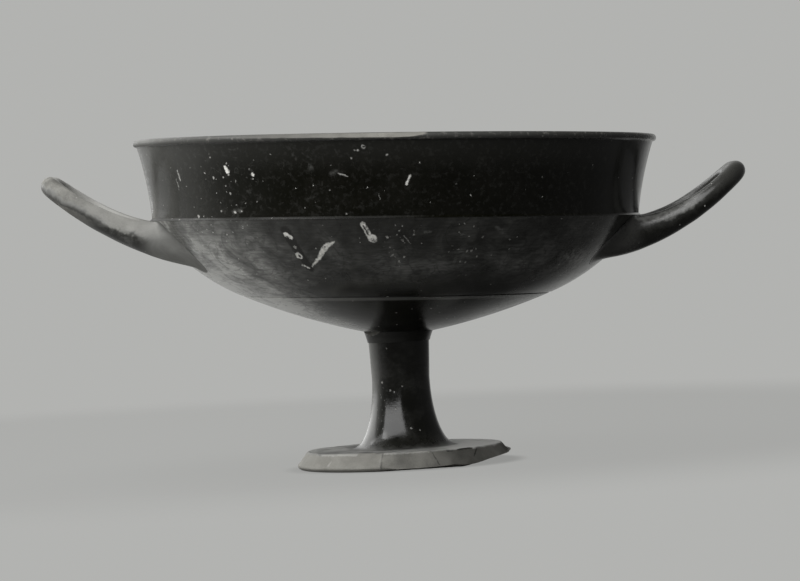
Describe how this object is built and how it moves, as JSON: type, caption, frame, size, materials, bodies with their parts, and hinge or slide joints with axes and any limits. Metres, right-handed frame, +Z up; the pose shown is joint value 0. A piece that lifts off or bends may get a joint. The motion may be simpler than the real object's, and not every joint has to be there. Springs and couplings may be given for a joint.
{
  "type": "stemmed drinking cup",
  "caption": "Black-gloss clay drinking cup: shallow bowl with a tall offset lip, upswept loop handles, slender stem and a chipped disc foot.",
  "frame": {"origin": "centre of the foot's resting face, on the stem's axis", "axes": "+Z up along the stem, +X towards the right handle as the picture shows it, +Y away from the picture's viewer"},
  "size_m": [0.2808, 0.2092, 0.1349],
  "materials": {
    "black_gloss": "black gloss slip, worn and scratched",
    "fired_clay": "fired clay, matt"
  },
  "bodies": {
    "root": {"bowl": "black_gloss", "stem_foot": "black_gloss", "stem_collar": "black_gloss", "stem_luting": "fired_clay", "handle_left": "black_gloss", "handle_right": "black_gloss", "luting_left_front": "black_gloss", "luting_left_back": "black_gloss", "luting_right_front": "black_gloss", "luting_right_back": "black_gloss"}
  },
  "joints": []
}
